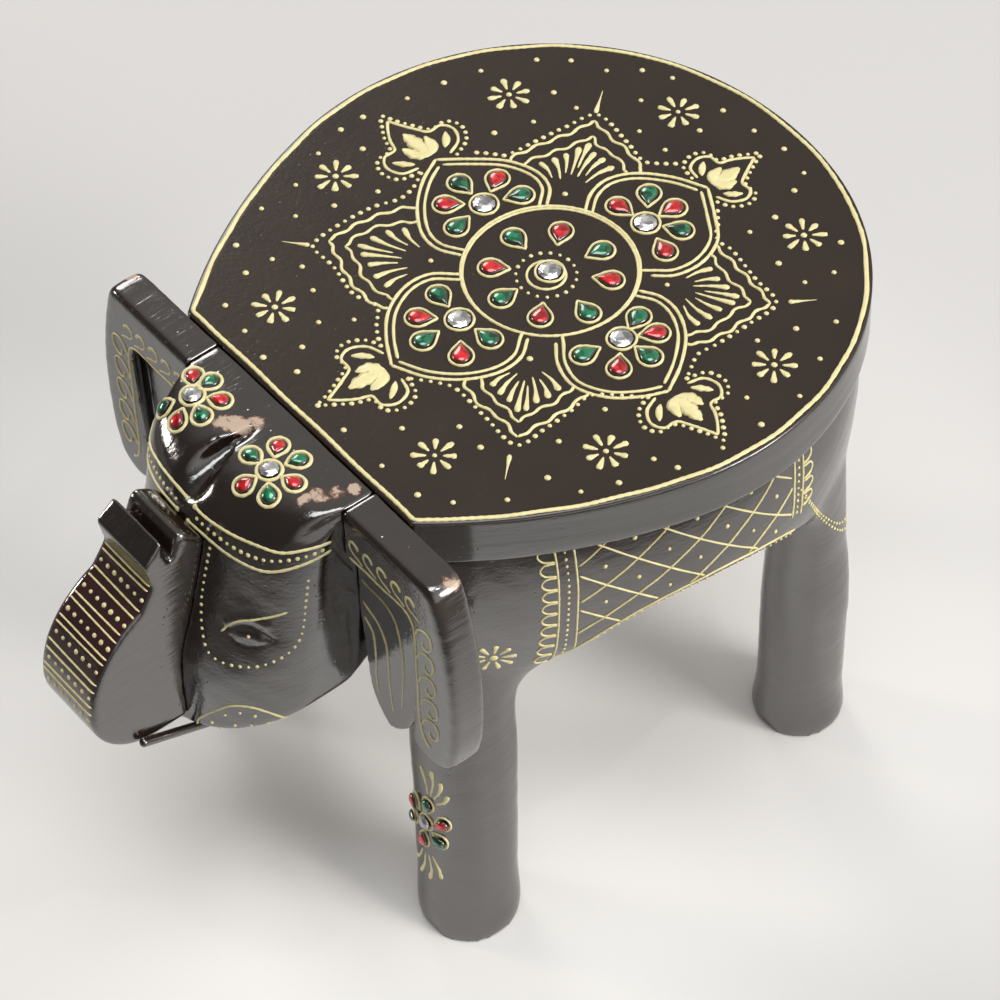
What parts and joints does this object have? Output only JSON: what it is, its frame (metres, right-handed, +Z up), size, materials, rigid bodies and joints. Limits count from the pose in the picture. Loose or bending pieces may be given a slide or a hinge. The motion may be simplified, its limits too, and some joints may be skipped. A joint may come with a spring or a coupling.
{
  "type": "elephant stool",
  "caption": "Low carved wooden stool shaped like a standing elephant, with a flat rounded seat board on its back, a curled trunk, flat ears and glass stone trim.",
  "frame": {"origin": "on the floor, under the middle of the whole stool's outline", "axes": "+Z up; -Y the way the elephant looks; +X the elephant's own left side"},
  "size_m": [0.2072, 0.2998, 0.2016],
  "materials": {
    "black_lacquer": "gloss black lacquer over carved wood, with yellow raised paintwork",
    "seat_lacquer": "satin brown-black lacquer on top, glossier on the sides, with yellow raised paintwork",
    "cone_work": "pale yellow raised paint, satin",
    "plain_wood": "bare",
    "red_glass": "bevelled, backed",
    "green_glass": "bevelled, backed",
    "clear_glass": "bevelled, backed"
  },
  "bodies": {
    "root": {"seat": "seat_lacquer", "body": "black_lacquer", "head": "black_lacquer", "trunk": "black_lacquer", "ear_left": "black_lacquer", "ear_right": "black_lacquer", "tusk_left": "black_lacquer", "tusk_right": "black_lacquer", "tail": "black_lacquer", "seat_dowels": "plain_wood", "head_dowels": "plain_wood", "ear_dowels": "plain_wood", "trunk_dowels": "plain_wood", "seat_stones_red": "red_glass", "seat_stones_green": "green_glass", "seat_stones_clear": "clear_glass", "head_stones_red": "red_glass", "head_stones_green": "green_glass", "head_stones_clear": "clear_glass", "leg_stones_red": "red_glass", "leg_stones_green": "green_glass", "leg_stones_clear": "clear_glass"}
  },
  "joints": []
}
